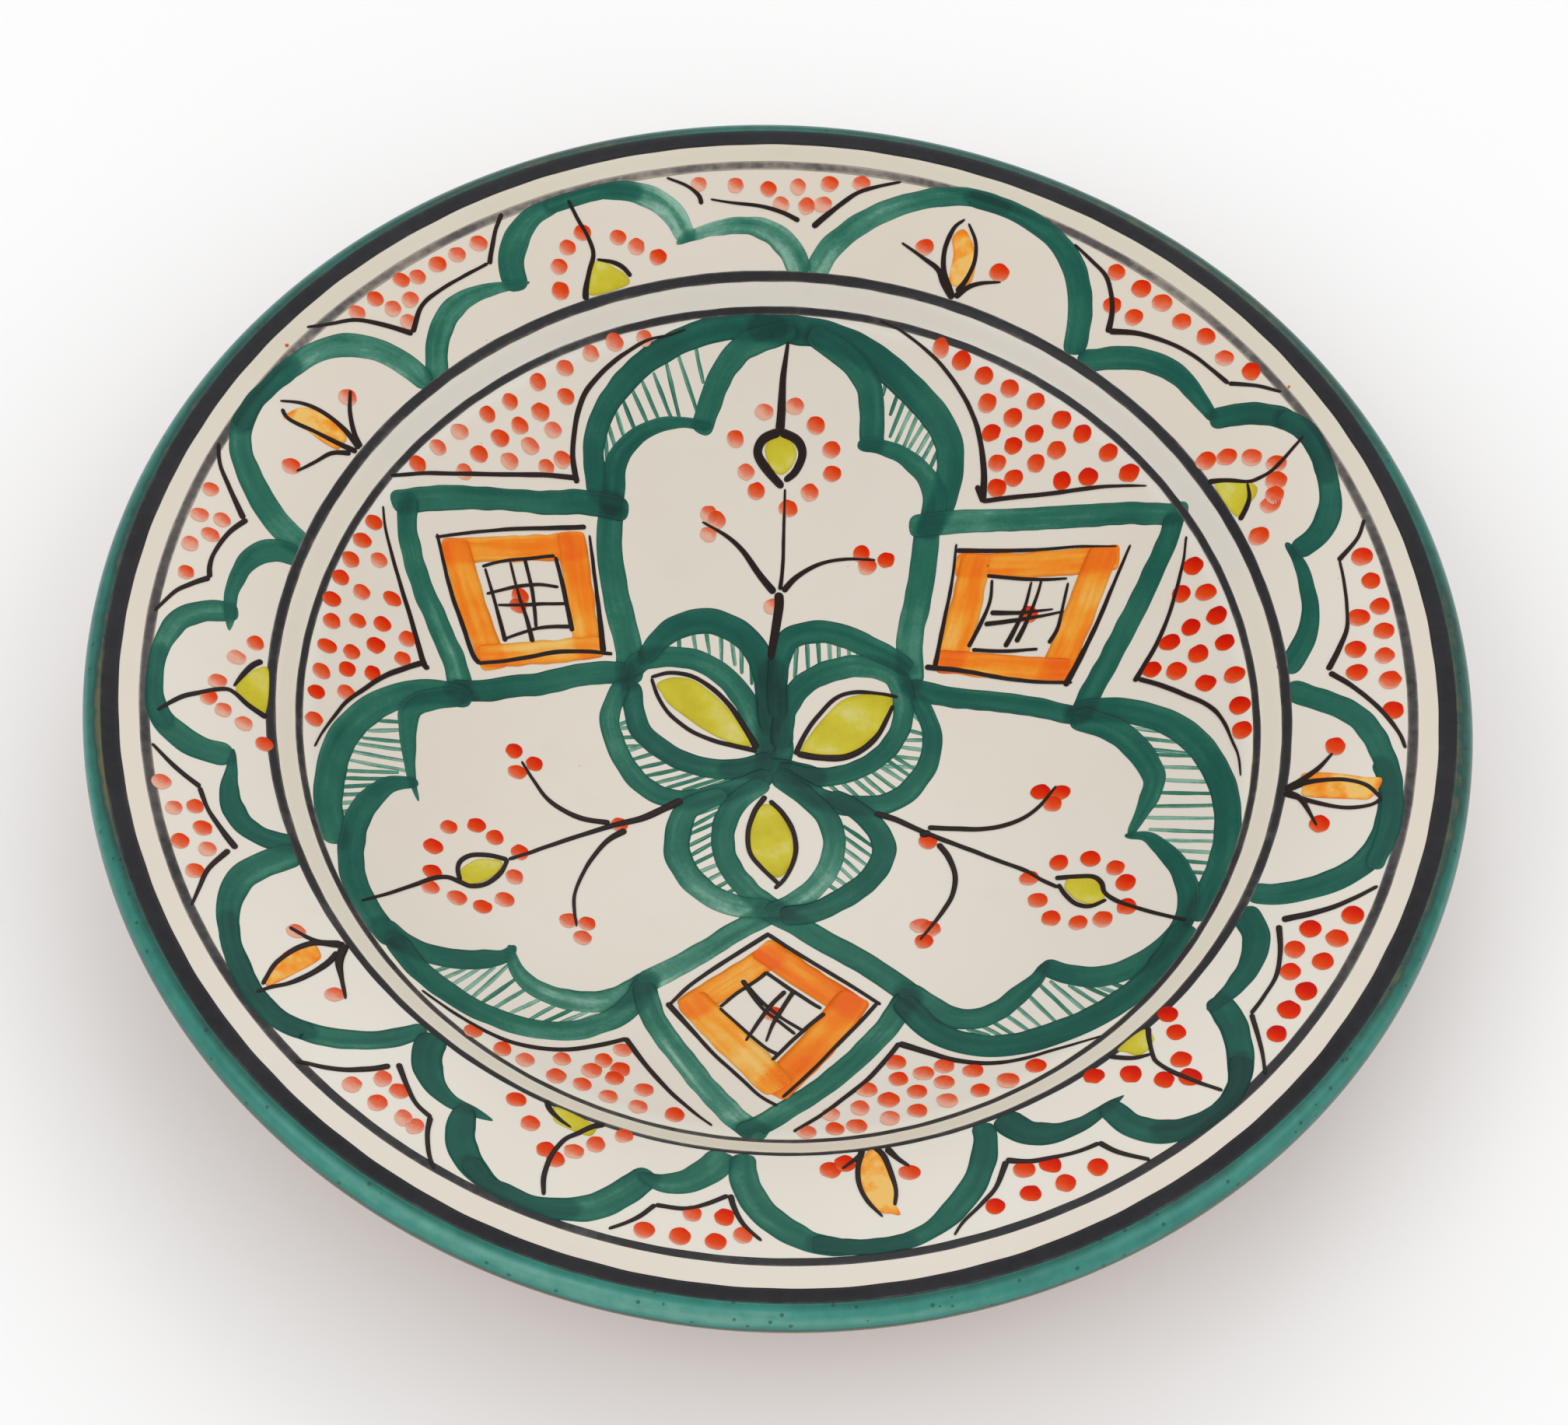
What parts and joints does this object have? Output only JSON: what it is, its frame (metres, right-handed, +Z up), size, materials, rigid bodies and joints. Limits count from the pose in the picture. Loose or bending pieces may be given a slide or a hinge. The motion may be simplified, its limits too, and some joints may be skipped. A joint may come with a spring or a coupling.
{
  "type": "dish",
  "caption": "Wide shallow ceramic dish on a foot ring, with a deep curved well, a flat flared rim and hand brushed green, black, orange and red painting.",
  "frame": {"origin": "centre of the foot ring's resting face, on the ground", "axes": "+Z up along the dish's axis of revolution; +Y the way one of the three painted petals in the well points"},
  "size_m": [0.3499, 0.35, 0.0632],
  "materials": {
    "terracotta": "bare fired clay underneath",
    "white_glaze": "glossy warm white tin glaze",
    "lip_green": "glossy blue green glaze",
    "black_paint": "black brushed line under a glossy glaze",
    "green_paint": "streaky green brushwork under a glossy glaze",
    "orange_paint": "washed orange under a glossy glaze",
    "lime_paint": "washed lime green under a glossy glaze",
    "red_paint": "watery red dabs under a glossy glaze"
  },
  "bodies": {
    "root": {"clay_body": "terracotta", "foot_ring": "terracotta", "face_glaze": "white_glaze", "lip_glaze": "lip_green", "lip_band": "black_paint", "rim_line": "black_paint", "ledge_line": "black_paint", "well_line": "black_paint", "well_brushwork": "green_paint", "rim_brushwork": "green_paint", "well_pen": "black_paint", "rim_pen": "black_paint", "window_fields": "orange_paint", "rim_buds": "orange_paint", "well_leaves": "lime_paint", "rim_leaves": "lime_paint", "well_dabs": "red_paint", "rim_dabs": "red_paint"}
  },
  "joints": []
}
